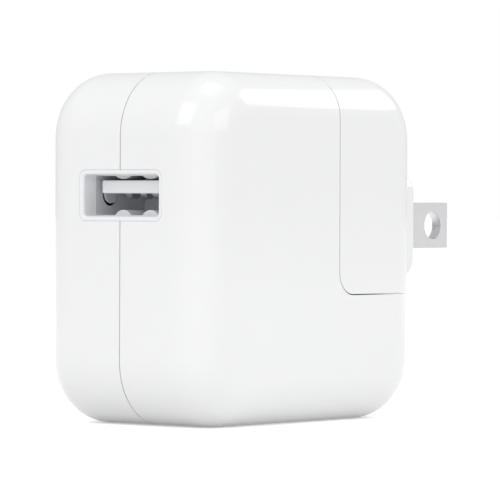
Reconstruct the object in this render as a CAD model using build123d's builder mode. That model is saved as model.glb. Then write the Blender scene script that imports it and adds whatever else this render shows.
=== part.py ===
from build123d import *
import os

# A mains USB wall charger: a rounded square case of two halves, a plug head that slides up out of the
# case's top corner, and two flat blades that fold up into the plug head. Millimetres.
#
# Frame: the origin is the centre of the flat base. +X is the way the open blades point, -X is the end
# face with the USB socket, Y runs across the thickness and +Z is up. The seam lies in the plane y = 0.

# ---------------------------------------------------------------- case
body_length = 47.0  # along X, without the blades
body_thickness = 28.5  # along Y
body_height = 46.0  # along Z
corner_radius = 8.5  # the four corners of the side view
edge_radius = 5.8  # the edges round the two broad faces
case_wall = 2.2
seam_width = 0.16  # the hairline groove between the case halves
seam_depth = 0.35
lip_height = 1.2  # tongue of the left half that enters the right half
lip_clearance = 0.08
post_radius = 1.0  # posts that clamp the circuit board

# ---------------------------------------------------------------- plug head
head_depth = 19.0  # along X, of the body's length
head_height = 29.2  # along Z, of the body's height
head_corner = 3.1
head_gap = 0.15  # the line between the plug head and the case
head_wall = 1.8
base_fit = 0.05  # plug head base inside its cover
plateau_width = 24.2  # raised pad round the blades, along Y
plateau_height = 14.2  # along Z
plateau_rise = 1.2
plateau_corner = 2.5
plateau_edge = 1.0

# ---------------------------------------------------------------- folding blades
blade_spacing = 12.7
blade_width = 6.35
blade_thickness = 1.52
blade_reach = 14.7  # from the plateau to the tip
blade_hole_radius = 1.95
blade_hole_from_tip = 3.9
blade_bevel = 0.45
blade_corner = 0.7
blade_tail_width = 3.0
pivot_rise = 9.2  # from the ledge under the plug head up to the blades' pivot
blade_tail_proud = 0.025  # how far the tail stands out behind the trough
pivot_depth = 3.5  # behind the back face, so that a folded blade lies just below it
rotor_radius = 3.0
rotor_length = 17.8
rotor_clearance = 0.15
trunnion_radius = 1.5
trunnion_length = 1.9
trunnion_clearance = 0.05
slot_clearance = 0.24  # each side of a folded blade
slot_floor_gap = 0.3  # behind a folded blade
trough_wall = 0.9

# ---------------------------------------------------------------- mains inlet and locking stud
pin_spacing = 8.6
pin_radius = 1.18
pin_reach = 6.8  # of each pin, above the recess floor
recess_depth = 8.0
nose_radius = 3.35  # each of the two lobes of the plug head's nose
nose_length = 7.6
nose_clearance = 0.2
inlet_wall = 1.3
inlet_floor = 1.8
inlet_flange = 1.0
stud_rise = 13.2  # from the ledge up to the stud's middle
stud_radius = 2.5
stud_head_radius = 4.0
stud_head_thickness = 1.3
stud_clearance = 0.15
slot_lip = 1.6  # thickness of the two lips that the stud's head hooks behind
slot_box_wall = 1.0
retainer_radius = 3.5
retainer_thickness = 0.8

# ---------------------------------------------------------------- USB socket
usb_z = 29.9
usb_inner_width = 12.5
usb_inner_height = 5.12
usb_metal = 0.3
usb_length = 13.2
bezel_opening = (12.6, 5.36)
bezel_rim = 0.6
bezel_round = 0.4  # the soft inner edge of the rim
bezel_seat = 0.25  # how far behind the case's inside the shell's front edge stands in the flange
bezel_flange = 1.0
bezel_flange_thickness = 0.85
bezel_fit = 0.03
tongue_width = 11.1
tongue_thickness = 1.7
tongue_from_top = 0.59
tongue_setback = 0.15  # behind the front edge of the metal shell
socket_block = 3.4  # depth of the insulator's rear block
contact_places = (-3.5, -1.0, 1.0, 3.5)
contact_width = 1.0
contact_thickness = 0.3

# ---------------------------------------------------------------- circuit board
board_thickness = 1.6
board_inset = 0.4  # from the inside of the case
lead_radius = 0.35
lead_clearance = 0.08
lead_tail = 0.9  # how far a lead stands out of the board's back
film_thickness = 0.2

# ---------------------------------------------------------------- what follows from the sizes above
end_x = -body_length / 2  # the end face with the USB socket
back_x = body_length / 2
half_y = body_thickness / 2
notch_x = back_x - head_depth
notch_z = body_height - head_height
pivot_z = notch_z + pivot_rise
stud_z = notch_z + stud_rise
inner_y = half_y - case_wall
inner_left = end_x + case_wall
inner_right = notch_x - case_wall  # the case's inside face behind the stud
inner_top = body_height - case_wall
plateau_x = back_x + plateau_rise
pivot_x = back_x - pivot_depth
tip_x = plateau_x + blade_reach
slot_floor_x = pivot_x - blade_width / 2 - slot_floor_gap
trough_x = slot_floor_x - trough_wall
blade_tail_reach = pivot_x - trough_x + blade_tail_proud
inlet_x = notch_x + head_depth / 2 + 0.1
usb_front = end_x + case_wall + bezel_seat
usb_outer_width = usb_inner_width + 2 * usb_metal
usb_outer_height = usb_inner_height + 2 * usb_metal
board_front = -usb_outer_width / 2 - 0.35  # the side that carries the tall pieces
board_back = board_front - board_thickness
board_holes = []  # (x, z) of every lead, filled as the pieces are made


def export(made, name):
    """Names a finished piece and writes its STEP file."""
    made.part.label = name
    export_step(made.part, f"parts/{name}.step")


def rounded_block(inset):
    """The charger's outer form, moved in by inset on every side."""
    with BuildPart() as block:
        with BuildSketch(Plane.XZ):
            with Locations((0, body_height / 2)):
                RectangleRounded(body_length - 2 * inset, body_height - 2 * inset, corner_radius - inset)
        extrude(amount=half_y - inset, both=True)
        fillet(block.faces().filter_by(Axis.Y).edges(), edge_radius - inset)
    return block.part


def draw_bay(grow, mode=Mode.ADD):
    """Draws the corner bay of the plug head, grown by grow, in an open sketch on an XZ plane."""
    with Locations((notch_x - grow, notch_z - grow)):
        reach = body_length + body_height
        RectangleRounded(reach, reach, head_corner + grow, align=(Align.MIN, Align.MIN), mode=mode)


def plug_bay(grow):
    """The corner bay of the plug head as a solid, right across the thickness."""
    with BuildPart() as bay:
        with BuildSketch(Plane.XZ):
            draw_bay(grow)
        extrude(amount=body_thickness, both=True)
    return bay.part


def outline_slab(inset, y_low, y_high):
    """A slab of the case's side outline without the bay, moved in by inset, from y_low to y_high."""
    with BuildPart() as slab:
        with BuildSketch(Plane.XZ.offset(-y_high)):
            with Locations((0, body_height / 2)):
                RectangleRounded(body_length - 2 * inset, body_height - 2 * inset, corner_radius - inset)
            draw_bay(inset, Mode.SUBTRACT)
        extrude(amount=y_high - y_low)
    return slab.part


def block(x_range, y_range, z_range):
    """A plain box between pairs of limits, for cuts and simple bodies."""
    sizes = [high - low for low, high in (x_range, y_range, z_range)]
    middle = [(low + high) / 2 for low, high in (x_range, y_range, z_range)]
    with BuildPart() as made:
        with Locations(tuple(middle)):
            Box(*sizes)
    return made.part


def rod(x, z, radius, y_low, y_high):
    """A round bar along Y, centred on x and z."""
    with BuildPart() as made:
        with BuildSketch(Plane.XZ.offset(-y_high)):
            with Locations((x, z)):
                Circle(radius)
        extrude(amount=y_high - y_low)
    return made.part


def lead(x, z, y_top):
    """A component's lead, from y_top through the board; its hole is drilled later."""
    board_holes.append((x, z))
    return rod(x, z, lead_radius, board_back - lead_tail, y_top)


os.makedirs("parts", exist_ok=True)

# ================================================================ case halves
outer_form = rounded_block(0)
bay = plug_bay(0)
inner_form = rounded_block(case_wall)
inner_bay = plug_bay(case_wall)
seam_outer = outline_slab(-1, -seam_width / 2, seam_width / 2)
seam_inner = outline_slab(seam_depth, -seam_width / 2, seam_width / 2)
lip_outer = outline_slab(case_wall / 2, -lip_height, 0.5)
lip_inner = outline_slab(case_wall, -lip_height, 0.5)
rebate_outer = outline_slab(case_wall / 2 - lip_clearance, -lip_height - lip_clearance, 0)

bezel_outer = (bezel_opening[0] + 2 * bezel_rim, bezel_opening[1] + 2 * bezel_rim)
bezel_corner = 1.0
inlet_outer_y = pin_spacing + 2 * (nose_radius + nose_clearance + inlet_wall)
inlet_outer_x = 2 * (nose_radius + nose_clearance + inlet_wall)
inlet_bottom = notch_z - recess_depth - inlet_floor

with BuildPart() as port_cut:
    with BuildSketch(Plane.YZ.offset(end_x - 1)):
        with Locations((0, usb_z)):
            RectangleRounded(bezel_outer[0] + 2 * bezel_fit, bezel_outer[1] + 2 * bezel_fit, bezel_corner)
    extrude(amount=case_wall + 3)

inlet_cut = block(
    (inlet_x - inlet_outer_x / 2 - bezel_fit, inlet_x + inlet_outer_x / 2 + bezel_fit),
    (-inlet_outer_y / 2 - bezel_fit, inlet_outer_y / 2 + bezel_fit),
    (notch_z - case_wall - 1, notch_z + 1),
)

with BuildPart() as stud_cut:
    with BuildSketch(Plane.YZ.offset(notch_x - case_wall - 1)):
        with Locations((0, stud_z)):
            Circle(stud_radius + bezel_fit)
    extrude(amount=case_wall + 2)

with BuildPart() as case_form:
    add(outer_form)
    add(bay, mode=Mode.SUBTRACT)
    add(inner_form - inner_bay, mode=Mode.SUBTRACT)
    add(seam_outer - seam_inner, mode=Mode.SUBTRACT)
    add(port_cut.part, mode=Mode.SUBTRACT)
    add(inlet_cut, mode=Mode.SUBTRACT)
    add(stud_cut.part, mode=Mode.SUBTRACT)

bulk_radius = 4.5
bulk_height = 16.0
bulk_places = ((inner_left + 5.3, case_wall + 6.1), (inner_left + 15.1, case_wall + 6.1))
post_places = (
    (inner_left + 2.2, usb_z + 4.15),
    (sum(x for x, z in bulk_places) / 2, case_wall + 2.0),
    (inner_right - 5.9, usb_z + 1.65),
    (inner_right + 3.8, notch_z - case_wall - 2.1),
)

with BuildPart() as left_posts:
    with BuildSketch(Plane.XZ.offset(-inner_y - 0.5)):
        with Locations(*post_places):
            Circle(post_radius)
    extrude(amount=inner_y + 0.5 - board_front)

with BuildPart() as right_posts:
    with BuildSketch(Plane.XZ.offset(-board_back)):
        with Locations(*post_places):
            Circle(post_radius)
    extrude(amount=inner_y + 0.5 + board_back)

with BuildPart() as case_left:
    add(case_form.part)
    split(bisect_by=Plane.XZ, keep=Keep.BOTTOM)
    add(lip_outer - lip_inner)
    add(port_cut.part, mode=Mode.SUBTRACT)
    add(inlet_cut, mode=Mode.SUBTRACT)
    add(stud_cut.part, mode=Mode.SUBTRACT)
    add(left_posts.part)
export(case_left, "case_left")

with BuildPart() as case_right:
    add(case_form.part)
    split(bisect_by=Plane.XZ, keep=Keep.TOP)
    add(rebate_outer, mode=Mode.SUBTRACT)
    add(right_posts.part)
export(case_right, "case_right")

# ================================================================ USB socket
with BuildPart() as usb_bezel:
    with BuildSketch(Plane.YZ.offset(end_x)):
        with Locations((0, usb_z)):
            RectangleRounded(bezel_outer[0], bezel_outer[1], bezel_corner)
    extrude(amount=case_wall)
    with BuildSketch(Plane.YZ.offset(end_x + case_wall)):
        with Locations((0, usb_z)):
            flange_size = [side + 2 * bezel_flange for side in bezel_outer]
            RectangleRounded(*flange_size, bezel_corner)
    extrude(amount=bezel_flange_thickness)
    with BuildSketch(Plane.YZ.offset(end_x)):
        with Locations((0, usb_z)):
            RectangleRounded(*bezel_opening, 0.5)
    extrude(amount=case_wall + bezel_flange_thickness, mode=Mode.SUBTRACT)
    with BuildSketch(Plane.YZ.offset(usb_front)):
        with Locations((0, usb_z)):
            RectangleRounded(usb_outer_width + 0.1, usb_outer_height + 0.1, 0.65)
    extrude(amount=case_wall, mode=Mode.SUBTRACT)
    fillet(usb_bezel.faces().sort_by(Axis.X)[0].inner_wires()[0].edges(), bezel_round)
export(usb_bezel, "usb_bezel")

rib_width = 2.7  # the pressed springs of the shell's floor and roof
rib_length = 5.0
rib_start = usb_front + 0.9
rib_places = (-2.3, 2.3)
floor_rib_height = 0.7
roof_rib_height = 0.42
side_spring_width = 2.4  # the springs in the two side walls hang down to a round end
side_spring_x = usb_front + 2.9
side_spring_low = usb_z - 1.05
side_spring_lean = 0.35
slit = 0.3
tab_x = usb_front + 8.0
tab_length = 1.4
tab_rise = 2.2


def pressed_rib(y, wall_z, height):
    """A rounded spring pressed inwards from the shell's floor (height > 0) or roof (height < 0)."""
    metal = -usb_metal / 2 if height > 0 else usb_metal / 2
    with BuildPart() as rib:
        with BuildSketch(Plane.YZ.offset(rib_start)):
            with BuildLine():
                start = (y - rib_width / 2, wall_z)
                end = (y + rib_width / 2, wall_z)
                ThreePointArc(start, (y, wall_z + height), end)
                Polyline(end, (end[0], wall_z + metal), (start[0], wall_z + metal), start)
            make_face()
        extrude(amount=rib_length)
    return rib.part


def side_spring(side):
    """A spring of one side wall, leaning inwards at its round lower end."""
    wall_y = side * usb_outer_width / 2
    top_z = usb_z + usb_inner_height / 2 - slit
    length = top_z - side_spring_low
    shank = length - side_spring_width / 2
    leaning = Plane(
        origin=(side_spring_x, wall_y, top_z),
        x_dir=(0, -side * side_spring_lean, -length),
        z_dir=(0, side * length, -side_spring_lean),
    )
    with BuildPart() as spring:
        with BuildSketch(leaning):
            with Locations((shank / 2, 0)):
                Rectangle(shank, side_spring_width)
            with Locations((shank, 0)):
                Circle(side_spring_width / 2)
        extrude(amount=-usb_metal)
    return spring.part


def side_window(side):
    """The slit round a side spring, closed at the top where the spring is rooted."""
    half = side_spring_width / 2 + slit
    top_z = usb_z + usb_inner_height / 2 - slit
    wall_span = sorted((side * (usb_inner_width / 2 - 0.1), side * (usb_outer_width / 2 + 0.1)))
    with BuildPart() as window:
        with BuildSketch(Plane.XZ.offset(-wall_span[1])):
            with Locations((side_spring_x, (top_z - 0.8 + side_spring_low + half) / 2)):
                Rectangle(2 * half, top_z - 0.8 - side_spring_low - half)
            with Locations((side_spring_x, side_spring_low + half - slit)):
                Circle(half)
        extrude(amount=wall_span[1] - wall_span[0])
    return window.part


usb_floor = usb_z - usb_inner_height / 2
usb_roof = usb_z + usb_inner_height / 2
with BuildPart() as usb_shell:
    with BuildSketch(Plane.YZ.offset(usb_front)):
        with Locations((0, usb_z)):
            RectangleRounded(usb_outer_width, usb_outer_height, 0.6)
            RectangleRounded(usb_inner_width, usb_inner_height, 0.3, mode=Mode.SUBTRACT)
    extrude(amount=usb_length)
    for rib_y in rib_places:
        add(pressed_rib(rib_y, usb_floor, floor_rib_height))
        add(pressed_rib(rib_y, usb_roof, -roof_rib_height))
    for side in (-1, 1):
        add(side_window(side), mode=Mode.SUBTRACT)
        add(side_spring(side))
    for side in (-1, 1):  # mounting tabs that stand on the board
        add(
            block(
                (tab_x + side - tab_length / 2, tab_x + side + tab_length / 2),
                (board_back, -usb_outer_width / 2 + usb_metal),
                (usb_z + side * tab_rise - usb_metal / 2, usb_z + side * tab_rise + usb_metal / 2),
            )
        )
export(usb_shell, "usb_shell")

usb_rear = usb_front + usb_length
tongue_top = usb_z + usb_inner_height / 2 - tongue_from_top
tongue_bottom = tongue_top - tongue_thickness
tongue_front = usb_front + tongue_setback
contact_z = tongue_bottom  # the strips lie flush in the tongue's underside
contact_top = contact_z + contact_thickness
contact_start = tongue_front + 2.4
bump_x = tongue_front + 4.2
with BuildPart() as usb_tongue:
    with BuildSketch(Plane.YZ.offset(usb_rear - socket_block)):
        with Locations((0, usb_z)):
            RectangleRounded(usb_inner_width - 0.1, usb_inner_height - 0.1, 0.3)
    extrude(amount=socket_block)
    with BuildSketch(Plane.XY.offset(tongue_bottom)):
        with Locations(((tongue_front + usb_rear - 1) / 2, 0)):
            RectangleRounded(usb_rear - 1 - tongue_front, tongue_width, 0.6)
    extrude(amount=tongue_thickness)
    for contact_y in contact_places:
        strip_span = (contact_y - contact_width / 2, contact_y + contact_width / 2)
        add(block((contact_start, usb_rear), strip_span, (contact_z, contact_top)), mode=Mode.SUBTRACT)
    fillet(usb_tongue.edges().filter_by(Axis.Y).group_by(Axis.X)[0], 0.2)
export(usb_tongue, "usb_tongue")

bump_width = 1.9
bump_drop = 0.75
contact_leg_pitch = 1.3
with BuildPart() as usb_contacts:
    for number, contact_y in enumerate(contact_places):
        leg_x = usb_rear + 0.7 + contact_leg_pitch * number
        y_low = contact_y - contact_width / 2
        y_high = contact_y + contact_width / 2
        add(block((contact_start, leg_x + 0.3), (y_low, y_high), (contact_z, contact_top)))
        add(block((leg_x - 0.3, leg_x + 0.3), (board_back - lead_tail, y_high), (contact_z, contact_top)))
        board_holes.append((leg_x, contact_z + contact_thickness / 2))
        with BuildSketch(Plane.XZ.offset(-y_high)):
            with BuildLine():
                front = (bump_x - bump_width / 2, contact_z)
                back = (bump_x + bump_width / 2, contact_z)
                ThreePointArc(front, (bump_x, contact_z - bump_drop), back)
                Line(back, front)
            make_face()
        extrude(amount=contact_width)
export(usb_contacts, "usb_contacts")

# ================================================================ mains inlet
recess_floor = notch_z - recess_depth


def draw_lobes(radius):
    """Draws the figure of two overlapping lobes of the inlet in an open sketch on an XY plane."""
    with Locations((inlet_x, -pin_spacing / 2), (inlet_x, pin_spacing / 2)):
        Circle(radius)
    with Locations((inlet_x, 0)):
        Rectangle(1.5 * radius, pin_spacing)


with BuildPart() as inlet_housing:
    with BuildSketch(Plane.XY.offset(inlet_bottom)):
        with Locations((inlet_x, 0)):
            Rectangle(inlet_outer_x, inlet_outer_y)
    extrude(amount=notch_z - inlet_bottom)
    with BuildSketch(Plane.XY.offset(notch_z - case_wall - inlet_flange)):
        with Locations((inlet_x, 0)):
            Rectangle(inlet_outer_x + 2 * inlet_flange, inlet_outer_y + 2 * inlet_flange)
    extrude(amount=inlet_flange)
    with BuildSketch(Plane.XY.offset(recess_floor)):
        draw_lobes(nose_radius + nose_clearance)
    extrude(amount=recess_depth, mode=Mode.SUBTRACT)
    with BuildSketch(Plane.XY.offset(inlet_bottom)):
        with Locations((inlet_x, -pin_spacing / 2), (inlet_x, pin_spacing / 2)):
            Circle(pin_radius)
    extrude(amount=inlet_floor, mode=Mode.SUBTRACT)
export(inlet_housing, "inlet_housing")

pin_bottom = inlet_bottom - 1.0
with BuildPart() as inlet_pins:
    with BuildSketch(Plane.XY.offset(pin_bottom)):
        with Locations((inlet_x, -pin_spacing / 2), (inlet_x, pin_spacing / 2)):
            Circle(pin_radius)
    extrude(amount=recess_floor + pin_reach - pin_bottom)
    fillet(inlet_pins.faces().sort_by(Axis.Z)[-2:].edges(), 0.9 * pin_radius)
export(inlet_pins, "inlet_pins")

strip_thickness = 0.4
strip_width = 2.0
with BuildPart() as inlet_leads:
    with BuildSketch(Plane.XY.offset(pin_bottom - strip_thickness)):
        with Locations((inlet_x, (board_front - pin_spacing / 2 + strip_width / 2) / 2)):
            Rectangle(strip_width, -board_front - pin_spacing / 2 + strip_width / 2)
        side_x = inlet_x - 2.2 * strip_width
        with Locations(((inlet_x + side_x) / 2, pin_spacing / 2)):
            Rectangle(inlet_x - side_x + strip_width, strip_width)
        with Locations((side_x, (board_front + pin_spacing / 2) / 2)):
            Rectangle(strip_width, pin_spacing / 2 - board_front)
    extrude(amount=strip_thickness)
export(inlet_leads, "inlet_leads")

# ================================================================ locking stud and its earth strap
strap_x = inner_right - strip_thickness
stud_head_x = notch_x + head_gap + slot_lip + stud_clearance
with BuildPart() as locking_stud:
    with BuildSketch(Plane.YZ.offset(strap_x - retainer_thickness - 0.6)):
        with Locations((0, stud_z)):
            Circle(stud_radius)
    extrude(amount=stud_head_x - strap_x + retainer_thickness + 0.6)
    with BuildSketch(Plane.YZ.offset(stud_head_x)):
        with Locations((0, stud_z)):
            Circle(stud_head_radius)
    extrude(amount=stud_head_thickness)
    fillet(locking_stud.faces().sort_by(Axis.X)[-1].edges(), 0.4)
export(locking_stud, "locking_stud")

with BuildPart() as stud_retainer:
    with BuildSketch(Plane.YZ.offset(strap_x - retainer_thickness)):
        with Locations((0, stud_z)):
            Circle(retainer_radius)
            Circle(stud_radius, mode=Mode.SUBTRACT)
    extrude(amount=retainer_thickness)
export(stud_retainer, "stud_retainer")

with BuildPart() as earth_strap:
    with BuildSketch(Plane.YZ.offset(strap_x)):
        with Locations((0, stud_z)):
            Circle(retainer_radius)
        with Locations((board_front / 2, stud_z)):
            Rectangle(-board_front, 4.0)
        with Locations((0, stud_z)):
            Circle(stud_radius, mode=Mode.SUBTRACT)
    extrude(amount=strip_thickness)
export(earth_strap, "earth_strap")

# ================================================================ transformer
transformer_x = inner_right - 8.7
transformer_z = case_wall + 18.1
core_length = 15.0  # along X
core_height = 14.0  # along Y
core_depth = 5.0  # along Z
core_window = 3.3
core_leg = 4.4
core_yoke = 2.6
core_low = board_front + 1.4
core_high = core_low + core_height
spool_depth = 11.6  # of the flanges, along Z
spool_wall = 0.5
flange_thickness = 0.8
window_low = core_low + core_yoke
window_high = core_high - core_yoke
window_middle = (window_low + window_high) / 2
spool_width = core_leg + 2 * core_window - 0.4

with BuildPart() as transformer_core:
    with BuildSketch(Plane.XY.offset(transformer_z - core_depth / 2)):
        with Locations((transformer_x, (core_low + core_high) / 2)):
            Rectangle(core_length, core_height)
        window_offset = (core_leg + core_window) / 2
        with Locations(*[(transformer_x + side * window_offset, window_middle) for side in (-1, 1)]):
            Rectangle(core_window, window_high - window_low, mode=Mode.SUBTRACT)
    extrude(amount=core_depth)
export(transformer_core, "transformer_core")

transformer_pin_pitch = 3.2
transformer_pin_places = [
    (transformer_x + step * transformer_pin_pitch, transformer_z + side * (spool_depth / 2 - 0.9))
    for side in (-1, 1)
    for step in (-1, 0, 1)
]
with BuildPart() as transformer_bobbin:
    for low in (window_low + 0.1, window_high - 0.1 - flange_thickness):
        with BuildSketch(Plane.XZ.offset(-low - flange_thickness)):
            with Locations((transformer_x, transformer_z)):
                Rectangle(spool_width, spool_depth)
                Rectangle(core_leg + 0.1, core_depth + 0.1, mode=Mode.SUBTRACT)
        extrude(amount=flange_thickness)
    with BuildSketch(Plane.XZ.offset(-window_high + 0.1)):
        with Locations((transformer_x, transformer_z)):
            Rectangle(core_leg + 0.1 + 2 * spool_wall, core_depth + 0.1 + 2 * spool_wall)
            Rectangle(core_leg + 0.1, core_depth + 0.1, mode=Mode.SUBTRACT)
    extrude(amount=window_high - window_low - 0.2)
    for side in (-1, 1):  # pin rails that stand on the board
        rail_low = core_depth / 2 + 0.3
        rail = sorted((transformer_z + side * rail_low, transformer_z + side * spool_depth / 2))
        half = spool_width / 2
        add(block((transformer_x - half, transformer_x + half), (board_front, window_low + 0.5), rail))
    for x, z in transformer_pin_places:
        add(rod(x, z, lead_radius, board_front - 1, board_front + 1.0), mode=Mode.SUBTRACT)
export(transformer_bobbin, "transformer_bobbin")

with BuildPart() as transformer_pins:
    for x, z in transformer_pin_places:
        add(lead(x, z, board_front + 1.0))
export(transformer_pins, "transformer_pins")

with BuildPart() as transformer_winding:
    winding_high = window_high - 0.1 - flange_thickness
    winding_low = window_low + 0.1 + flange_thickness
    with BuildSketch(Plane.XZ.offset(-winding_high)):
        with Locations((transformer_x, transformer_z)):
            RectangleRounded(spool_width - 0.2, spool_depth - 0.6, 2.0)
            spool_outer = (core_leg + 0.1 + 2 * spool_wall, core_depth + 0.1 + 2 * spool_wall)
            Rectangle(*spool_outer, mode=Mode.SUBTRACT)
    extrude(amount=winding_high - winding_low)
export(transformer_winding, "transformer_winding")

# ================================================================ electrolytic capacitors
output_radius = 4.0
output_height = 12.0
output_places = (
    (inner_left + 5.15, inner_top - 5.1),
    (inner_left + 13.4, inner_top - 5.1),
)
sleeve_thickness = 0.2
sleeve_lip = 0.9


def make_capacitors(places, radius, height, name):
    """A group of upright capacitors: metal cans with leads, and the sleeves shrunk round them."""
    top = board_front + height
    can = (radius - sleeve_thickness, board_front + sleeve_thickness, top - sleeve_thickness)
    with BuildPart() as cans:
        for x, z in places:
            add(rod(x, z, *can))
            add(lead(x - radius / 3, z, board_front + 0.5))
            add(lead(x + radius / 3, z, board_front + 0.5))
    export(cans, f"{name}_cans")
    with BuildPart() as sleeves:
        for x, z in places:
            add(rod(x, z, radius, board_front, top))
            add(rod(x, z, radius - sleeve_lip, board_front - 1, top + 1), mode=Mode.SUBTRACT)
            add(rod(x, z, *can), mode=Mode.SUBTRACT)
    export(sleeves, f"{name}_sleeves")


make_capacitors(bulk_places, bulk_radius, bulk_height, "bulk_capacitor")
make_capacitors(output_places, output_radius, output_height, "output_capacitor")

# ================================================================ mains filter: choke, fuse, thermistor
choke_x = inner_right - 0.4
choke_z = case_wall + 5.6
choke_radius = 4.3
choke_bore = 2.0
choke_thickness = 3.0
choke_y = board_front + choke_radius + 1.0
wire_build = 0.7
with BuildPart() as choke_core:
    with BuildSketch(Plane.YZ.offset(choke_x - choke_thickness / 2)):
        with Locations((choke_y, choke_z)):
            Circle(choke_radius)
            Circle(choke_bore, mode=Mode.SUBTRACT)
    extrude(amount=choke_thickness)
export(choke_core, "choke_core")

with BuildPart() as choke_windings:
    for side in (-1, 1):
        with BuildSketch(Plane.YZ.offset(choke_x - choke_thickness / 2 - wire_build)):
            with Locations((choke_y, choke_z)):
                Circle(choke_radius + wire_build)
                Circle(choke_bore - wire_build, mode=Mode.SUBTRACT)
            with Locations((choke_y, choke_z + side * 5 + side * 0.8)):
                Rectangle(20, 10, mode=Mode.INTERSECT)
        extrude(amount=choke_thickness + 2 * wire_build)
        with BuildSketch(Plane.YZ.offset(choke_x - choke_thickness / 2)):
            with Locations((choke_y, choke_z)):
                Circle(choke_radius)
                Circle(choke_bore, mode=Mode.SUBTRACT)
        extrude(amount=choke_thickness, mode=Mode.SUBTRACT)
    for side in (-1, 1):
        add(lead(choke_x, choke_z + side * 2.2, choke_y - choke_radius + 0.2))
export(choke_windings, "choke_windings")

fuse_radius = 1.4
fuse_z = case_wall + fuse_radius + 0.15
fuse_x = inlet_x - 2.9
with BuildPart() as fuse:
    with BuildSketch(Plane.YZ.offset(fuse_x - 3.5)):
        with Locations((board_front + fuse_radius + 0.3, fuse_z)):
            Circle(fuse_radius)
    extrude(amount=7.0)
    for side in (-1, 1):
        add(lead(fuse_x + side * 2.6, fuse_z, board_front + 1.0))
export(fuse, "fuse")

thermistor_x = inner_right + 4.2
thermistor_z = case_wall + 4.4
with BuildPart() as thermistor:
    with BuildSketch(Plane.YZ.offset(thermistor_x - 1.0)):
        with Locations((board_front + 3.8, thermistor_z)):
            Circle(2.5)
    extrude(amount=2.0)
    for side in (-1, 1):
        add(lead(thermistor_x, thermistor_z + side * 1.25, board_front + 2.2))
export(thermistor, "thermistor")

safety_x = inner_right - 5.3
safety_thickness = 2.4
safety_z = transformer_z + spool_depth / 2 + 0.3 + safety_thickness / 2
with BuildPart() as safety_capacitor:
    with BuildSketch(Plane.XY.offset(safety_z - safety_thickness / 2)):
        with Locations((safety_x, board_front + 4.4)):
            Circle(3.0)
    extrude(amount=safety_thickness)
    fillet(safety_capacitor.edges(), 0.6)
    for side in (-1, 1):
        add(lead(safety_x + side * 1.8, safety_z, board_front + 2.4))
export(safety_capacitor, "safety_capacitor")

# ================================================================ power switch and output rectifier
sink_thickness = 1.2
sink_x = inner_right - 0.3 - sink_thickness
sink_z_range = (inner_top - 9.2, inner_top - 0.4)
switch_z = sum(sink_z_range) / 2
switch_thickness = 2.3
with BuildPart() as switch_heat_sink:
    add(block((sink_x, sink_x + sink_thickness), (board_front, board_front + 16.5), sink_z_range))
export(switch_heat_sink, "switch_heat_sink")

with BuildPart() as power_switch:
    switch_span = (board_front + 6.5, board_front + 12.6)
    add(block((sink_x - switch_thickness, sink_x), switch_span, (switch_z - 3.3, switch_z + 3.3)))
    for step in (-1, 0, 1):
        add(lead(sink_x - switch_thickness / 2, switch_z + step * 2.3, board_front + 7.0))
export(power_switch, "power_switch")

rectifier_sink_x = inner_left + 0.6
rectifier_sink_height = 11.2
rectifier_z = usb_z - bezel_outer[1] / 2 - bezel_flange - 0.32 - rectifier_sink_height / 2
rectifier_thickness = 3.6
with BuildPart() as rectifier_heat_sink:
    add(
        block(
            (rectifier_sink_x, rectifier_sink_x + sink_thickness),
            (board_front, board_front + 15.5),
            (rectifier_z - rectifier_sink_height / 2, rectifier_z + rectifier_sink_height / 2),
        )
    )
export(rectifier_heat_sink, "rectifier_heat_sink")

rectifier_x = rectifier_sink_x + sink_thickness
with BuildPart() as output_rectifier:
    add(
        block(
            (rectifier_x, rectifier_x + rectifier_thickness),
            (board_front + 4.5, board_front + 14.0),
            (rectifier_z - 5.0, rectifier_z + 5.0),
        )
    )
    for step in (-1, 0, 1):
        add(lead(rectifier_x + rectifier_thickness / 2, rectifier_z + step * 2.54, board_front + 5.0))
export(output_rectifier, "output_rectifier")

# ================================================================ chips on the board's back
controller_x = inner_right - 11.0
opto_width = 4.6
opto_x = transformer_x - transformer_pin_pitch - lead_radius - 0.55 - opto_width / 2
leg_thickness = 0.3


def make_chip(name, x, z, size_x, size_z, height, legs, pitch):
    """A surface-mounted chip on the board's back, with gull legs along its two Z sides."""
    with BuildPart() as chip:
        low = board_back - height
        z_span = (z - size_z / 2, z + size_z / 2)
        add(block((x - size_x / 2, x + size_x / 2), (low, board_back - 0.1), z_span))
        for side in (-1, 1):
            for number in range(legs):
                leg_x = x + (number - (legs - 1) / 2) * pitch
                edge = z + side * size_z / 2
                span = sorted((edge - side * 0.2, edge + side * 0.9))
                foot = sorted((edge + side * 0.6, edge + side * 0.9))
                middle = board_back - height / 2
                add(block((leg_x - 0.2, leg_x + 0.2), (middle - leg_thickness, middle), span))
                add(block((leg_x - 0.2, leg_x + 0.2), (middle - leg_thickness, board_back), foot))
    export(chip, name)


make_chip("controller_chip", controller_x, case_wall + 9.9, 4.9, 3.9, 1.6, 4, 1.27)
make_chip("bridge_rectifier", inner_right - 1.6, case_wall + 11.5, 4.8, 4.0, 2.4, 2, 2.5)
make_chip("optocoupler", opto_x, usb_z - 3.4, opto_width, 4.4, 2.0, 2, 2.5)

chip_part_step = 2.6  # from one column of small parts to the next
chip_part_places = []
for column in range(2):
    for row in range(4):
        chip_part_places.append((controller_x - 6.6 + chip_part_step * column, case_wall + 9.2 + 3.1 * row))
for column in range(2):
    for row in range(2):
        chip_part_places.append((inner_right - 8.2 + chip_part_step * column, inner_top - 8.7 + 2.4 * row))
with BuildPart() as chip_resistors:
    with Locations(*[(x, board_back - 0.3, z) for x, z in chip_part_places[::2]]):
        Box(2.0, 0.6, 1.25)
export(chip_resistors, "chip_resistors")
with BuildPart() as chip_capacitors:
    with Locations(*[(x, board_back - 0.45, z) for x, z in chip_part_places[1::2]]):
        Box(2.0, 0.9, 1.25)
export(chip_capacitors, "chip_capacitors")

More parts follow.
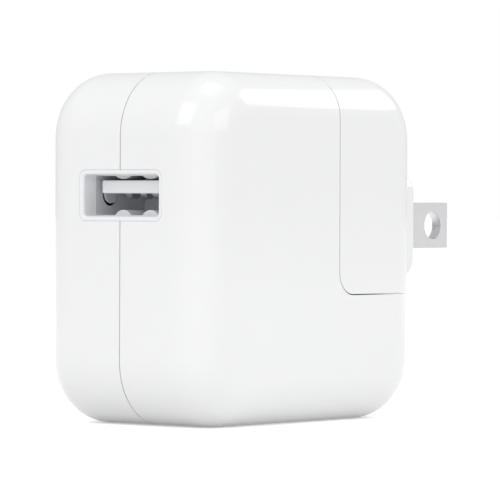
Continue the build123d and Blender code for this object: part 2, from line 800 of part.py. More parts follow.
# ================================================================ board, film and thermal pad
inlet_room = block(
    (inlet_x - inlet_outer_x / 2 - inlet_flange - 0.3, back_x),
    (-half_y, half_y),
    (inlet_bottom - 0.3, body_height),
)
bezel_room_half = bezel_outer[1] / 2 + bezel_flange + 0.3
bezel_room = block(
    (end_x, end_x + case_wall + bezel_flange_thickness + 0.2),
    (-half_y, 0),
    (usb_z - bezel_room_half, usb_z + bezel_room_half),
)
board_form = outline_slab(case_wall + board_inset, board_back, board_front)
film_form = outline_slab(edge_radius + 0.2, -inner_y, -inner_y + film_thickness)
with BuildPart() as main_board:
    add(board_form)
    add(inlet_room, mode=Mode.SUBTRACT)
    add(bezel_room, mode=Mode.SUBTRACT)
    for x, z in board_holes:
        hole_radius = lead_radius + lead_clearance
        add(rod(x, z, hole_radius, board_back - 1, board_front + 1), mode=Mode.SUBTRACT)
    for side in (-1, 1):  # slots for the socket's mounting tabs
        add(
            block(
                (tab_x + side - tab_length / 2 - 0.1, tab_x + side + tab_length / 2 + 0.1),
                (board_back - 1, board_front + 1),
                (usb_z + side * tab_rise - 0.25, usb_z + side * tab_rise + 0.25),
            ),
            mode=Mode.SUBTRACT,
        )
export(main_board, "main_board")

with BuildPart() as insulating_film:
    add(film_form)
    for x, z in post_places:
        add(rod(x, z, post_radius + 0.15, -half_y, 0), mode=Mode.SUBTRACT)
export(insulating_film, "insulating_film")

with BuildPart() as thermal_pad:
    add(
        block(
            (transformer_x - 5.5, transformer_x + 5.5),
            (core_high, inner_y),
            (transformer_z - 2.4, transformer_z + 2.4),
        )
    )
export(thermal_pad, "thermal_pad")

# ================================================================ plug head
head_form = rounded_block(0) & plug_bay(-head_gap)
head_cavity = rounded_block(head_wall)
head_left = notch_x + head_gap
head_bottom = notch_z + head_gap
blade_places = (-blade_spacing / 2, blade_spacing / 2)
slot_half = blade_thickness / 2 + slot_clearance
rotor_end = rotor_length / 2
cheek_inner = rotor_end + rotor_clearance
trunnion_room = trunnion_radius + trunnion_clearance
trunnion_end = rotor_end + trunnion_length + 0.2

with BuildPart() as plateau:
    with BuildSketch(Plane.YZ.offset(back_x - edge_radius)):
        with Locations((0, pivot_z)):
            RectangleRounded(plateau_width, plateau_height, plateau_corner)
    extrude(amount=edge_radius + plateau_rise)
    fillet(plateau.faces().sort_by(Axis.X)[-1].edges(), plateau_edge)

with BuildPart() as walls:
    for blade_y in blade_places:  # troughs round the slots that the folded blades lie in
        trough_span = (blade_y - slot_half - trough_wall, blade_y + slot_half + trough_wall)
        add(block((trough_x, back_x), trough_span, (pivot_z, body_height)))
    for side in (-1, 1):  # cheeks that carry the rotor's trunnions
        cheek_span = sorted((side * cheek_inner, side * (half_y - head_wall + 0.3)))
        add(block((pivot_x - 2.6, back_x), cheek_span, (pivot_z - 3.2, pivot_z + 3.2)))

with BuildPart() as rotor_room:
    add(rod(pivot_x, pivot_z, rotor_radius + rotor_clearance, -cheek_inner, cheek_inner))
    add(rod(pivot_x, pivot_z, trunnion_room, -trunnion_end, trunnion_end))
    for blade_y in blade_places:
        slot_span = (blade_y - slot_half, blade_y + slot_half)
        slot_low = pivot_z - blade_width / 2 - slot_clearance
        add(rod(pivot_x, pivot_z, blade_tail_reach + rotor_clearance, *slot_span))
        add(block((slot_floor_x, plateau_x + 5), slot_span, (slot_low, body_height + 5)))
    for side in (-1, 1):  # the trunnions enter from the open side of the cheeks
        entry_span = sorted((side * cheek_inner, side * trunnion_end))
        add(block((pivot_x - 10, pivot_x), entry_span, (pivot_z - trunnion_room, pivot_z + trunnion_room)))

with BuildPart() as plug_head_cover:
    add(head_form)
    add(head_cavity, mode=Mode.SUBTRACT)
    add(plateau.part - head_cavity)
    add(walls.part & rounded_block(0))
    add(rotor_room.part, mode=Mode.SUBTRACT)
export(plug_head_cover, "plug_head_cover")

lip_back_x = head_left + slot_lip
head_slot_depth = stud_head_thickness + 2 * stud_clearance
slot_box_x = lip_back_x + head_slot_depth + slot_box_wall
head_slot_radius = stud_head_radius + stud_clearance
neck_slot_radius = stud_radius + stud_clearance
nose_bottom = head_bottom - nose_length
plate_top = head_bottom + slot_lip
sleeve_radius = 1.75  # of the socket contacts
sleeve_bottom = nose_bottom + 0.5
arm_end_x = pivot_x - trunnion_room


def stud_slot(x_low, x_high, radius):
    """The upright slot for the stud's neck or head, open at the bottom and round at the top."""
    with BuildPart() as slot:
        with BuildSketch(Plane.YZ.offset(x_low)):
            with Locations((0, stud_z)):
                Circle(radius)
            with Locations((0, stud_z - body_height / 2)):
                Rectangle(2 * radius, body_height)
        extrude(amount=x_high - x_low)
    return slot.part


with BuildPart() as plug_head_base:
    add(plug_bay(-head_gap) - plug_bay(-head_gap - slot_lip))
    box_half = head_slot_radius + slot_box_wall
    box_rise = (plate_top - 0.5, stud_z + box_half)
    add(block((head_left + slot_lip / 2, slot_box_x), (-box_half, box_half), box_rise))
    for side in (-1, 1):  # arms that close the trunnions' seats
        arm_span = sorted((side * (cheek_inner + 0.15), side * (trunnion_end - 0.1)))
        arm_half = trunnion_room - 0.1
        arm_rise = (pivot_z - arm_half, pivot_z + arm_half)
        add(block((head_left + slot_lip / 2, arm_end_x), arm_span, arm_rise))
    add(rounded_block(head_wall + base_fit), mode=Mode.INTERSECT)
    with BuildSketch(Plane.XY.offset(nose_bottom)):
        draw_lobes(nose_radius)
    extrude(amount=nose_length + slot_lip / 2)
    with BuildSketch(Plane.XY.offset(nose_bottom - 1)):
        with Locations((inlet_x, -pin_spacing / 2), (inlet_x, pin_spacing / 2)):
            Circle(pin_radius + 0.2)
    extrude(amount=3, mode=Mode.SUBTRACT)
    with BuildSketch(Plane.XY.offset(sleeve_bottom)):
        with Locations((inlet_x, -pin_spacing / 2), (inlet_x, pin_spacing / 2)):
            Circle(sleeve_radius)
    extrude(amount=plate_top - sleeve_bottom, mode=Mode.SUBTRACT)
    add(stud_slot(head_left - 1, lip_back_x + 0.1, neck_slot_radius), mode=Mode.SUBTRACT)
    add(stud_slot(lip_back_x, lip_back_x + head_slot_depth, head_slot_radius), mode=Mode.SUBTRACT)
export(plug_head_base, "plug_head_base")

with BuildPart() as socket_sleeves:
    with BuildSketch(Plane.XY.offset(sleeve_bottom)):
        with Locations((inlet_x, -pin_spacing / 2), (inlet_x, pin_spacing / 2)):
            Circle(sleeve_radius)
            Circle(pin_radius + 0.05, mode=Mode.SUBTRACT)
    extrude(amount=plate_top - sleeve_bottom)
export(socket_sleeves, "socket_sleeves")

strap_front = pivot_x - blade_tail_reach - 0.1
with BuildPart() as contact_straps:
    for side in (-1, 1):
        foot_span = sorted((side * (pin_spacing / 2 - sleeve_radius), side * (blade_spacing / 2 + 1.1)))
        upright_span = sorted((side * (blade_spacing / 2 - 1.1), side * (blade_spacing / 2 + 1.1)))
        foot_x = inlet_x - sleeve_radius
        add(block((foot_x, strap_front), foot_span, (plate_top, plate_top + strip_thickness)))
        add(block((strap_front - strip_thickness, strap_front), upright_span, (plate_top, pivot_z + 1.6)))
export(contact_straps, "contact_straps")

leaf_thickness = 0.3
leaf_x = pivot_x - rotor_radius - 0.12
with BuildPart() as detent_spring:
    leaf_half = 2.1
    add(block((inlet_x - 2, leaf_x), (-leaf_half, leaf_half), (plate_top, plate_top + leaf_thickness)))
    add(block((leaf_x - leaf_thickness, leaf_x), (-leaf_half, leaf_half), (plate_top, pivot_z + 3.5)))
export(detent_spring, "detent_spring")

# ================================================================ folding blades


def make_blade(y):
    """One flat blade with its hole, bevelled tip and narrow tail, centred on y."""
    half = blade_width / 2
    tail_half = blade_tail_width / 2
    tail_x = pivot_x - blade_tail_reach
    with BuildPart() as blade:
        with BuildSketch(Plane.XZ.offset(-y - blade_thickness / 2)):
            with BuildLine():
                Polyline(
                    (pivot_x, pivot_z + half),
                    (tip_x, pivot_z + half),
                    (tip_x, pivot_z - half),
                    (pivot_x, pivot_z - half),
                    (pivot_x, pivot_z - tail_half),
                    (tail_x, pivot_z - tail_half),
                    (tail_x, pivot_z + tail_half),
                    (pivot_x, pivot_z + tail_half),
                    close=True,
                )
            make_face()
        extrude(amount=blade_thickness)
        fillet(blade.edges().filter_by(Axis.Y).group_by(Axis.X)[0], blade_corner)
        fillet(blade.edges().filter_by(Axis.Y).group_by(Axis.X)[-1], blade_corner)
        with BuildSketch(Plane.XY.offset(pivot_z - half)):
            with Locations(((tail_x + tip_x) / 2, y)):
                Rectangle(tip_x - tail_x, blade_thickness)
            chamfer(vertices().group_by(Axis.X)[-1], blade_bevel)
        extrude(amount=blade_width, mode=Mode.INTERSECT)
        hole_x = tip_x - blade_hole_from_tip
        add(rod(hole_x, pivot_z, blade_hole_radius, -half_y, half_y), mode=Mode.SUBTRACT)
    return blade.part


blades = [make_blade(y) for y in blade_places]
for blade_solid, blade_name in zip(blades, ("blade_right", "blade_left")):
    with BuildPart() as blade_piece:
        add(blade_solid)
    export(blade_piece, blade_name)

with BuildPart() as blade_rotor:
    add(rod(pivot_x, pivot_z, rotor_radius, -rotor_end, rotor_end))
    add(rod(pivot_x, pivot_z, trunnion_radius, -rotor_end - trunnion_length, rotor_end + trunnion_length))
    for blade_solid in blades:
        add(blade_solid, mode=Mode.SUBTRACT)
    for angle in (90, 180):  # the two flats that the detent spring bears on
        with Locations(Location((pivot_x, 0, pivot_z), (0, -angle, 0))):
            with Locations((rotor_radius + 0.8, 0, 0)):
                Box(2, 2 * leaf_half + 0.6, 3 * rotor_radius, mode=Mode.SUBTRACT)
export(blade_rotor, "blade_rotor")
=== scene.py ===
"""A USB wall charger: finishes, fine parts, studio and camera around its fixed construction."""
import math

import bmesh
import bpy
from mathutils import Matrix, Vector


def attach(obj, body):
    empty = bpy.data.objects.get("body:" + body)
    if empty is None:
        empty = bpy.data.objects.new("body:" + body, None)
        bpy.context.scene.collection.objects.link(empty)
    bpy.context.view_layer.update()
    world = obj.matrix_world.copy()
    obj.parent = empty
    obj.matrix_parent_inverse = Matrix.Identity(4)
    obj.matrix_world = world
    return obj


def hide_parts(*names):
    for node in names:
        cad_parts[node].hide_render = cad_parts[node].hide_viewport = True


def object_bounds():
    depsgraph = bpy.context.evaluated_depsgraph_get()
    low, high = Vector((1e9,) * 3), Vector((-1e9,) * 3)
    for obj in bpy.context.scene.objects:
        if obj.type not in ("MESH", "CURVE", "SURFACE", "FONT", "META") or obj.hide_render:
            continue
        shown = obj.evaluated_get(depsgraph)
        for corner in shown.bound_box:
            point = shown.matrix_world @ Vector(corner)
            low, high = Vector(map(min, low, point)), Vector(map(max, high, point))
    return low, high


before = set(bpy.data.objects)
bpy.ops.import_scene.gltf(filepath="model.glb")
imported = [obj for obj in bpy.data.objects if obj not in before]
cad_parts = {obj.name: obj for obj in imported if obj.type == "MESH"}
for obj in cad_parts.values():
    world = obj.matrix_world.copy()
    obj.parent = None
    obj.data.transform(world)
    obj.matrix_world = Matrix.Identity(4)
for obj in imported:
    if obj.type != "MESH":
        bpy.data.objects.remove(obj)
CAD_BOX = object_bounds()
MM = 0.001

bl_info = {
    "name": "USB wall charger",
    "version": (1, 0, 0),
    "blender": (4, 5, 0),
    "location": "3D View > Sidebar > Charger",
    "description": "Finishes, fine parts and studio of a USB wall charger",
    "category": "Object",
}


# ---------------------------------------------------------------- shader building
class Socket:
    """A shader socket that arithmetic can be written on."""

    def __init__(self, graph, link):
        self.graph = graph
        self.link = link

    def _math(self, operation, first, second):
        return self.graph.add("ShaderNodeMath", {"operation": operation}, first, second)

    def __add__(self, other):
        return self._math("ADD", self, other)

    def __sub__(self, other):
        return self._math("SUBTRACT", self, other)

    def __mul__(self, other):
        return self._math("MULTIPLY", self, other)

    def __rsub__(self, other):
        return self._math("SUBTRACT", other, self)

    __radd__ = __add__
    __rmul__ = __mul__


class Graph:
    """The node tree of one material or world."""

    def __init__(self, tree):
        self.tree = tree
        tree.nodes.clear()

    def node(self, kind, settings, *inputs):
        """Makes a node, sets it up, then fills its inputs in order; None leaves an input alone."""
        made = self.tree.nodes.new(kind)
        for key, value in settings.items():
            if key == "stops":
                self.fill_ramp(made.color_ramp, value)
            else:
                setattr(made, key, value)
        self.fill(made, dict(enumerate(inputs)))
        return made

    def add(self, kind, settings, *inputs, out=0):
        """As node, and returns one of its outputs for arithmetic."""
        return Socket(self, self.node(kind, settings, *inputs).outputs[out])

    def fill(self, node, values):
        """Sets or links inputs given by number or name."""
        for key, value in values.items():
            if isinstance(value, Socket):
                self.tree.links.new(value.link, node.inputs[key])
            elif value is not None:
                node.inputs[key].default_value = value

    @staticmethod
    def fill_ramp(ramp, stops):
        """Gives a colour ramp its stops, each a place and a grey value."""
        while len(ramp.elements) < len(stops):
            ramp.elements.new(0.5)
        for element, (place, grey) in zip(ramp.elements, stops):
            element.position = place
            element.color = (grey, grey, grey, 1)

    def place(self, stretch=(1, 1, 1)):
        """Object coordinates, stretched along the axes."""
        coordinates = self.add("ShaderNodeTexCoord", {}, out=3)
        return self.add("ShaderNodeMapping", {}, coordinates, None, None, stretch)

    def noise(self, size_mm, detail=3.0, stretch=(1, 1, 1)):
        """Soft noise from 0 to 1 whose lumps are about size_mm across."""
        scale = 1 / (size_mm * MM)
        return self.add("ShaderNodeTexNoise", {}, self.place(stretch), None, scale, detail, 0.55)

    def cells(self, size_mm):
        """Distance from the nearest of scattered points about size_mm apart."""
        return self.add("ShaderNodeTexVoronoi", {}, self.place(), None, 1 / (size_mm * MM))

    def ramp(self, value, *stops):
        """A grey ramp through the stops."""
        return self.add("ShaderNodeValToRGB", {"stops": stops}, value)

    def mix(self, factor, first, second):
        """A colour between two colours."""
        node = self.tree.nodes.new("ShaderNodeMix")
        node.data_type = "RGBA"
        self.fill(node, {0: factor, 6: first, 7: second})
        return Socket(self, node.outputs[2])

    def bump(self, height, depth_mm):
        """A surface normal from a height of 0 to 1 that is depth_mm deep."""
        node = self.node("ShaderNodeBump", {})
        self.fill(node, {"Strength": 1.0, "Distance": depth_mm * MM, "Height": height})
        return Socket(self, node.outputs[0])


def rgba(color, factor=1.0):
    """A colour with alpha, brightened or darkened by factor."""
    return (*[min(1.0, channel * factor) for channel in color[:3]], 1.0)


def finished(name, inputs, build):
    """Makes a material; build(graph) returns the surface inputs that vary over the surface."""
    material = bpy.data.materials.get(name)
    if material:
        return material
    material = bpy.data.materials.new(name)
    material.use_nodes = True
    graph = Graph(material.node_tree)
    surface = graph.node("ShaderNodeBsdfPrincipled", {})
    output = graph.node("ShaderNodeOutputMaterial", {})
    graph.tree.links.new(surface.outputs[0], output.inputs[0])
    graph.fill(surface, inputs)
    graph.fill(surface, build(graph))
    return material


def moulded_plastic(name, color, roughness, grain_mm, grain_depth_mm, mottle=0.012):
    """Injection-moulded plastic: faint flow mottling, handling scuffs and a moulded grain."""

    def build(graph):
        flow = graph.noise(9.0, 2.0)
        scuffs = graph.ramp(graph.noise(0.9, 6.0, (0.25, 1.0, 1.6)), (0.58, 0.0), (0.72, 1.0))
        grain = graph.noise(grain_mm, 2.0)
        wave = graph.noise(4.5, 1.0)
        return {
            "Base Color": graph.mix(flow, rgba(color, 1 - mottle), rgba(color, 1 + mottle)),
            "Roughness": roughness + 0.05 * scuffs + 0.03 * flow,
            "Normal": graph.bump(grain + 0.35 * wave, grain_depth_mm),
        }

    return finished(name, {"Specular IOR Level": 0.5}, build)


def worked_metal(name, color, roughness, stretch=(0.06, 1.0, 1.0), tarnish=0.10, metallic=1.0):
    """Rolled and plated metal: fine draw lines, soft cloudy tarnish and a few small pits."""

    def build(graph):
        lines = graph.noise(0.12, 4.0, stretch)
        cloud = graph.noise(3.5, 3.0)
        pits = graph.ramp(graph.cells(0.7), (0.02, 1.0), (0.09, 0.0))
        return {
            "Base Color": graph.mix(cloud * 0.8 + pits * 0.2, rgba(color), rgba(color, 1 - tarnish)),
            "Roughness": roughness + 0.12 * lines + 0.08 * cloud,
            "Normal": graph.bump(lines - 0.6 * pits, 0.006),
        }

    return finished(name, {"Metallic": metallic}, build)


def cast_body(name, color, roughness, grain_mm, speck=0.25):
    """Pressed, fired or cast matter: speckled colour and a rough matte skin."""

    def build(graph):
        specks = graph.ramp(graph.noise(grain_mm, 4.0), (0.45, 0.0), (0.7, 1.0))
        cloud = graph.noise(2.5, 2.0)
        lightness = specks * 0.7 + cloud * 0.3
        return {
            "Base Color": graph.mix(lightness, rgba(color, 1 - speck), rgba(color, 1 + speck)),
            "Roughness": roughness + 0.1 * cloud,
            "Normal": graph.bump(specks, 0.02),
        }

    return finished(name, {}, build)


def wrapped_tape(name, color, pitch_mm):
    """Windings under wrapped tape: the turns show as fine ribs through a glossy film, with painted shade in
    the grooves between turns.
    """

    def build(graph):
        along = {"bands_direction": "Y"}
        turns = 0.16 / (pitch_mm * MM)
        ribs = graph.add("ShaderNodeTexWave", along, graph.place(), turns, 0.6, 2.0, 1.0)
        cloud = graph.noise(2.0, 3.0)
        return {
            # The base colour is darker in the grooves between turns, which is painted shade; the cloud
            # mixed in gives random tone.
            "Base Color": graph.mix(ribs * 0.5 + cloud * 0.5, rgba(color, 0.75), rgba(color)),
            "Roughness": 0.28 + 0.15 * cloud,
            "Normal": graph.bump(ribs, 0.05),
        }

    return finished(name, {}, build)


def circuit_laminate(name, mask_color, copper_tint):
    """Green lacquer over glass weave, with the lighter shapes of copper tracks under it."""

    def build(graph):
        threads = 300.0
        warp, weft = [
            graph.add("ShaderNodeTexWave", {"bands_direction": axis}, graph.place(), threads, 0.4, 1.0, 1.0)
            for axis in ("X", "Z")
        ]
        pads = graph.ramp(
            graph.add("ShaderNodeTexVoronoi", {"distance": "CHEBYCHEV"}, graph.place(), None, 210.0),
            (0.30, 1.0), (0.34, 0.0),
        )
        return {
            "Base Color": graph.mix(pads, rgba(mask_color), rgba(copper_tint)),
            "Roughness": 0.32 + 0.1 * warp,
            "Normal": graph.bump(warp * 0.3 + weft * 0.3 + pads, 0.03),
        }

    return finished(name, {}, build)


# ---------------------------------------------------------------- settings
class ChargerFinishSettings(bpy.types.PropertyGroup):
    """Colours and gloss of what shows."""

    case_color: bpy.props.FloatVectorProperty(
        name="Case colour", description="Glossy white of the case and the plug head",
        subtype="COLOR", size=3, min=0, max=1, default=(0.885, 0.888, 0.895),
    )
    case_roughness: bpy.props.FloatProperty(
        name="Case roughness", description="Low is glossy", min=0, max=1, default=0.07, subtype="FACTOR",
    )
    socket_color: bpy.props.FloatVectorProperty(
        name="Socket plastic", description="White of the socket's frame and tongue",
        subtype="COLOR", size=3, min=0, max=1, default=(0.87, 0.875, 0.89),
    )
    nickel_color: bpy.props.FloatVectorProperty(
        name="Nickel", description="Plating of the blades and the socket's shell",
        subtype="COLOR", size=3, min=0, max=1, default=(0.70, 0.70, 0.71),
    )
    edge_width: bpy.props.FloatProperty(
        name="Stamped edge", description="Rounding of stamped metal edges",
        subtype="DISTANCE", unit="LENGTH", default=0.12 * MM,
    )


class ChargerStageSettings(bpy.types.PropertyGroup):
    """Studio and camera."""

    azimuth: bpy.props.FloatProperty(
        name="Azimuth", description="Camera's turn about the charger", subtype="ANGLE",
        default=math.radians(-51.29),
    )
    elevation: bpy.props.FloatProperty(
        name="Elevation", description="Camera's height above level", subtype="ANGLE",
        default=math.radians(0.66),
    )
    roll: bpy.props.FloatProperty(
        name="Roll", description="Camera's roll", subtype="ANGLE", default=math.radians(0.22),
    )
    distance: bpy.props.FloatProperty(
        name="Distance", description="Camera to the case's middle",
        subtype="DISTANCE", unit="LENGTH", default=0.5056,
    )
    lens: bpy.props.FloatProperty(
        name="Lens", description="Focal length in millimetres on a 36 mm sensor", default=272.5,
    )
    shift: bpy.props.FloatVectorProperty(
        name="Shift", description="Camera shift, as a share of the picture's width",
        size=2, default=(0.032, -0.0044),
    )
    world_level: bpy.props.FloatProperty(
        name="Room light", description="Level of the even white room", min=0, default=0.70,
    )
    floor_glow: bpy.props.FloatProperty(
        name="Floor white", description="Lifts the seen floor to the backdrop's white",
        min=0, default=0.42,
    )


def finish_settings():
    """The scene's finish settings."""
    return bpy.context.scene.charger_finish


def stage_settings():
    """The scene's stage settings."""
    return bpy.context.scene.charger_stage


def paint(material, *nodes):
    """Gives construction nodes one material."""
    for name in nodes:
        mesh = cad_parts[name].data
        mesh.materials.clear()
        mesh.materials.append(material)


def new_piece(name, mesh, material, body, slot, *replaced):
    """Puts a finished mesh in the scene as a piece that rides on a body and replaces nodes."""
    piece = bpy.data.objects.new(name, mesh)
    bpy.context.scene.collection.objects.link(piece)
    mesh.materials.clear()
    mesh.materials.append(material)
    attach(piece, body)
    if replaced:
        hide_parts(*replaced)
    return piece


def softened(node, width, segments=3, angle=math.radians(38)):
    """A copy of a node's mesh with its doubles merged and its sharp edges rounded."""
    edit = bmesh.new()
    edit.from_mesh(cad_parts[node].data)
    bmesh.ops.remove_doubles(edit, verts=edit.verts, dist=0.002 * MM)
    bmesh.ops.dissolve_limit(
        edit, angle_limit=math.radians(1.0), use_dissolve_boundaries=False,
        verts=edit.verts, edges=edit.edges,
    )
    mesh = bpy.data.meshes.new(node + "_soft")
    edit.to_mesh(mesh)
    edit.free()
    holder = bpy.data.objects.new(node + "_soft", mesh)
    bpy.context.scene.collection.objects.link(holder)
    bevel = holder.modifiers.new("edges", "BEVEL")
    bevel.width = width
    bevel.segments = segments
    bevel.limit_method = "ANGLE"
    bevel.angle_limit = angle
    weighted = holder.modifiers.new("flat faces stay flat", "WEIGHTED_NORMAL")
    weighted.weight = 100
    mesh.shade_smooth()
    result = bpy.data.meshes.new_from_object(holder.evaluated_get(bpy.context.evaluated_depsgraph_get()))
    bpy.data.objects.remove(holder)
    bpy.data.meshes.remove(mesh)
    return result


# ---------------------------------------------------------------- operators
class CHARGER_OT_case(bpy.types.Operator):
    """Finish the case halves and the plug head in glossy white."""

    bl_idname = "charger.case"
    bl_label = "Case"

    def execute(self, context):
        settings = finish_settings()
        gloss = moulded_plastic(
            "glossy_white_plastic", settings.case_color, settings.case_roughness, 0.6, 0.0012, 0.006,
        )
        paint(gloss, "case_left", "case_right", "plug_head_cover")
        return {"FINISHED"}


class CHARGER_OT_socket(bpy.types.Operator):
    """Finish the USB socket: frame, tongue, metal shell and contacts."""

    bl_idname = "charger.socket"
    bl_label = "USB socket"

    def execute(self, context):
        settings = finish_settings()
        plastic = moulded_plastic("socket_white_plastic", settings.socket_color, 0.3, 0.12, 0.004)
        tin = worked_metal(
            "shell_tin", (0.80, 0.81, 0.84), 0.38, (1.0, 0.06, 1.0), tarnish=0.06, metallic=0.3,
        )
        paint(plastic, "usb_bezel", "usb_tongue")
        paint(tin, "usb_shell")
        paint(worked_metal("contact_plating", (0.52, 0.52, 0.55), 0.25), "usb_contacts")
        return {"FINISHED"}


class CHARGER_OT_blades(bpy.types.Operator):
    """Make the folding blades with the rolled edges of stamped metal, and finish their rotor."""

    bl_idname = "charger.blades"
    bl_label = "Folding blades"

    def execute(self, context):
        settings = finish_settings()
        nickel = worked_metal("blade_nickel", settings.nickel_color, 0.24, (0.05, 1.0, 1.0), 0.12)
        for side in ("left", "right"):
            mesh = softened("blade_" + side, settings.edge_width)
            new_piece("mains_blade_" + side, mesh, nickel, "blades", "nickel", "blade_" + side)
        rotor = moulded_plastic("rotor_white_plastic", settings.socket_color, 0.4, 0.12, 0.004)
        paint(rotor, "blade_rotor")
        return {"FINISHED"}


class CHARGER_OT_plug_inside(bpy.types.Operator):
    """Finish what the plug head holds."""

    bl_idname = "charger.plug_inside"
    bl_label = "Plug head inside"

    def execute(self, context):
        settings = finish_settings()
        base = moulded_plastic("base_white_plastic", settings.case_color, 0.34, 0.15, 0.004)
        paint(base, "plug_head_base")
        paint(worked_metal("contact_brass", (0.78, 0.58, 0.30), 0.26), "socket_sleeves", "contact_straps")
        paint(worked_metal("spring_steel", (0.52, 0.52, 0.53), 0.2, (1.0, 1.0, 0.06)), "detent_spring")
        return {"FINISHED"}


class CHARGER_OT_inlet(bpy.types.Operator):
    """Finish the mains inlet and the locking stud."""

    bl_idname = "charger.inlet"
    bl_label = "Mains inlet"

    def execute(self, context):
        settings = finish_settings()
        housing = moulded_plastic("inlet_white_plastic", settings.socket_color, 0.36, 0.15, 0.004)
        pin_nickel = worked_metal("pin_nickel", settings.nickel_color, 0.2, (1.0, 1.0, 0.06))
        tinned = worked_metal("tinned_strip", (0.64, 0.65, 0.66), 0.34, tarnish=0.18)
        paint(housing, "inlet_housing")
        paint(pin_nickel, "inlet_pins", "locking_stud")
        paint(tinned, "inlet_leads", "earth_strap")
        paint(worked_metal("retainer_steel", (0.50, 0.50, 0.51), 0.25, (1.0, 1.0, 1.0)), "stud_retainer")
        return {"FINISHED"}


class CHARGER_OT_electronics(bpy.types.Operator):
    """Finish the board and everything on it."""

    bl_idname = "charger.electronics"
    bl_label = "Electronics"

    def execute(self, context):
        paint(circuit_laminate("board_laminate", (0.012, 0.11, 0.045), (0.03, 0.21, 0.075)), "main_board")
        paint(cast_body("ferrite", (0.045, 0.045, 0.05), 0.62, 0.15), "transformer_core", "choke_core")
        paint(wrapped_tape("yellow_tape", (0.72, 0.50, 0.06), 0.32), "transformer_winding")
        paint(wrapped_tape("enamelled_copper", (0.62, 0.24, 0.07), 0.5), "choke_windings")
        paint(
            moulded_plastic("bobbin_black", (0.03, 0.03, 0.032), 0.42, 0.2, 0.006, 0.2),
            "transformer_bobbin",
        )
        paint(worked_metal("tinned_lead", (0.66, 0.67, 0.68), 0.28), "transformer_pins")
        paint(
            worked_metal("can_aluminium", (0.76, 0.77, 0.78), 0.3, (1.0, 0.06, 1.0)),
            "bulk_capacitor_cans", "output_capacitor_cans",
        )
        paint(
            moulded_plastic("dark_sleeve", (0.018, 0.02, 0.045), 0.25, 0.8, 0.01, 0.15),
            "bulk_capacitor_sleeves",
        )
        paint(
            moulded_plastic("green_sleeve", (0.01, 0.06, 0.04), 0.25, 0.8, 0.01, 0.15),
            "output_capacitor_sleeves",
        )
        paint(
            worked_metal("sheet_aluminium", (0.72, 0.73, 0.74), 0.32, (1.0, 0.06, 1.0)),
            "switch_heat_sink", "rectifier_heat_sink",
        )
        paint(
            cast_body("black_epoxy", (0.022, 0.022, 0.024), 0.5, 0.08, 0.3),
            "power_switch", "output_rectifier", "controller_chip", "bridge_rectifier", "optocoupler",
            "chip_resistors",
        )
        paint(cast_body("blue_ceramic", (0.03, 0.12, 0.38), 0.3, 0.3, 0.12), "safety_capacitor")
        paint(cast_body("green_ceramic", (0.02, 0.12, 0.05), 0.34, 0.3, 0.15), "thermistor")
        paint(cast_body("tan_ceramic", (0.42, 0.29, 0.17), 0.5, 0.1, 0.12), "chip_capacitors")
        paint(cast_body("fuse_ceramic", (0.66, 0.63, 0.56), 0.38, 0.15, 0.06), "fuse")
        paint(cast_body("gap_pad", (0.17, 0.24, 0.32), 0.7, 0.1, 0.15), "thermal_pad")
        paint(moulded_plastic("amber_film", (0.62, 0.36, 0.05), 0.2, 1.5, 0.004, 0.1), "insulating_film")
        return {"FINISHED"}


def aim(thing, place, target, roll=0.0):
    """Puts an object at a place, looking at a target, rolled by an angle."""
    back = (Vector(place) - Vector(target)).normalized()
    right = Vector((0, 0, 1)).cross(back).normalized()
    up = back.cross(right)
    right, up = right * math.cos(roll) + up * math.sin(roll), up * math.cos(roll) - right * math.sin(roll)
    thing.matrix_world = Matrix.Translation(place) @ Matrix((right, up, back)).transposed().to_4x4()


def around(azimuth, elevation, distance, centre):
    """The point at a direction and distance from a centre; azimuth 0 is on the -Y side."""
    level = math.cos(elevation)
    back = Vector((math.sin(azimuth) * level, -math.cos(azimuth) * level, math.sin(elevation)))
    return centre + back * distance


def soft_light(name, azimuth, elevation, distance, size, power, centre):
    """A large rectangular lamp aimed at the charger; angles in degrees."""
    lamp = bpy.data.lights.new(name, "AREA")
    lamp.shape = "RECTANGLE"
    lamp.size, lamp.size_y = size
    lamp.energy = power
    holder = bpy.data.objects.new(name, lamp)
    bpy.context.scene.collection.objects.link(holder)
    aim(holder, around(math.radians(azimuth), math.radians(elevation), distance, centre), centre)


def seen_directly(graph):
    """1 for rays that show a surface straight, mirrored or through glass, otherwise 0."""
    path = graph.node("ShaderNodeLightPath", {})
    names = ("Is Camera Ray", "Is Glossy Ray", "Is Transmission Ray")
    camera, glossy, through = [Socket(graph, path.outputs[name]) for name in names]
    return graph.add("ShaderNodeMath", {"operation": "MINIMUM"}, camera + glossy + through, 1.0)


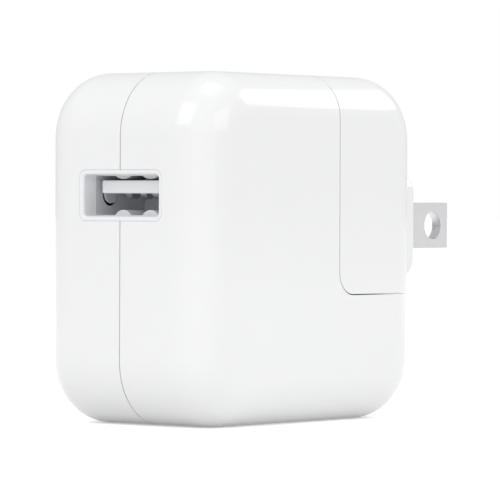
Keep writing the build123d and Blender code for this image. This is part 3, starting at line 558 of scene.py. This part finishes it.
class CHARGER_OT_stage(bpy.types.Operator):
    """Make the floor, the white room, the soft lights and the camera."""

    bl_idname = "charger.stage"
    bl_label = "Stage"

    def execute(self, context):
        scene = context.scene
        settings = stage_settings()
        lowest, highest = CAD_BOX
        middle = Vector((0, 0, (lowest[2] + highest[2]) / 2))

        white = (1, 1, 1, 1)
        paper_grey = (0.88, 0.88, 0.88, 1.0)

        floor_mesh = bpy.data.meshes.new("floor")
        reach = 6.0
        corners = [(-reach, -reach), (reach, -reach), (reach, reach), (-reach, reach)]
        floor_mesh.from_pydata([(x, y, lowest[2]) for x, y in corners], [], [(0, 1, 2, 3)])
        floor = bpy.data.objects.new("floor", floor_mesh)
        scene.collection.objects.link(floor)
        paper = bpy.data.materials.new("white_paper")
        paper.use_nodes = True
        graph = Graph(paper.node_tree)
        diffuse = graph.add("ShaderNodeBsdfDiffuse", {}, paper_grey)
        glow = graph.add("ShaderNodeEmission", {}, white, seen_directly(graph) * settings.floor_glow)
        both = graph.add("ShaderNodeAddShader", {}, diffuse, glow)
        graph.node("ShaderNodeOutputMaterial", {}, both)
        floor_mesh.materials.append(paper)

        world = bpy.data.worlds.new("white_room")
        world.use_nodes = True
        scene.world = world
        graph = Graph(world.node_tree)
        seen = graph.add("ShaderNodeBackground", {}, white, 1.0)
        lit = graph.add("ShaderNodeBackground", {}, white, settings.world_level)
        path = graph.node("ShaderNodeLightPath", {})
        camera_ray = Socket(graph, path.outputs["Is Camera Ray"])
        room = graph.add("ShaderNodeMixShader", {}, camera_ray, lit, seen)
        graph.node("ShaderNodeOutputWorld", {}, room)

        # name, azimuth and elevation in degrees, distance and size in metres, power in watts
        for lamp in (
            ("left_box", -95, 38, 0.9, (0.6, 0.6), 1.9),
            ("right_box", 72, 28, 0.9, (0.55, 0.33), 0.95),
            ("front_box", 5, 20, 1.1, (0.7, 0.5), 1.3),
            ("socket_box", -42, 8, 0.9, (1.0, 1.0), 0.8),
            ("top_box", 20, 80, 0.9, (0.5, 0.5), 0.8),
        ):
            soft_light(*lamp, middle)

        camera = bpy.data.cameras.new("camera")
        camera.lens = settings.lens
        camera.sensor_width = 36.0
        camera.shift_x, camera.shift_y = settings.shift
        camera.clip_start = 0.01
        holder = bpy.data.objects.new("camera", camera)
        scene.collection.objects.link(holder)
        place = around(settings.azimuth, settings.elevation, settings.distance, middle)
        aim(holder, place, middle, settings.roll)
        scene.camera = holder
        scene.view_settings.view_transform = "Standard"
        return {"FINISHED"}


OPERATORS = (
    CHARGER_OT_case, CHARGER_OT_socket, CHARGER_OT_blades, CHARGER_OT_plug_inside, CHARGER_OT_inlet,
    CHARGER_OT_electronics, CHARGER_OT_stage,
)


class CHARGER_PT_panel(bpy.types.Panel):
    """Lists the steps that finish the charger."""

    bl_idname = "CHARGER_PT_panel"
    bl_label = "USB wall charger"
    bl_space_type = "VIEW_3D"
    bl_region_type = "UI"
    bl_category = "Charger"

    def draw(self, context):
        for operator in OPERATORS:
            self.layout.operator(operator.bl_idname)
        for group in (context.scene.charger_finish, context.scene.charger_stage):
            for name in group.__annotations__:
                self.layout.prop(group, name)


CLASSES = (ChargerFinishSettings, ChargerStageSettings, *OPERATORS, CHARGER_PT_panel)


def register():
    """Registers the classes and the scene's settings."""
    for item in CLASSES:
        bpy.utils.register_class(item)
    bpy.types.Scene.charger_finish = bpy.props.PointerProperty(type=ChargerFinishSettings)
    bpy.types.Scene.charger_stage = bpy.props.PointerProperty(type=ChargerStageSettings)


def unregister():
    """Takes the settings and the classes away again."""
    del bpy.types.Scene.charger_stage
    del bpy.types.Scene.charger_finish
    for item in reversed(CLASSES):
        bpy.utils.unregister_class(item)


def main():
    """Runs every step in order."""
    register()
    for operator in OPERATORS:
        group, name = operator.bl_idname.split(".")
        getattr(getattr(bpy.ops, group), name)()


if __name__ == "__main__":
    main()
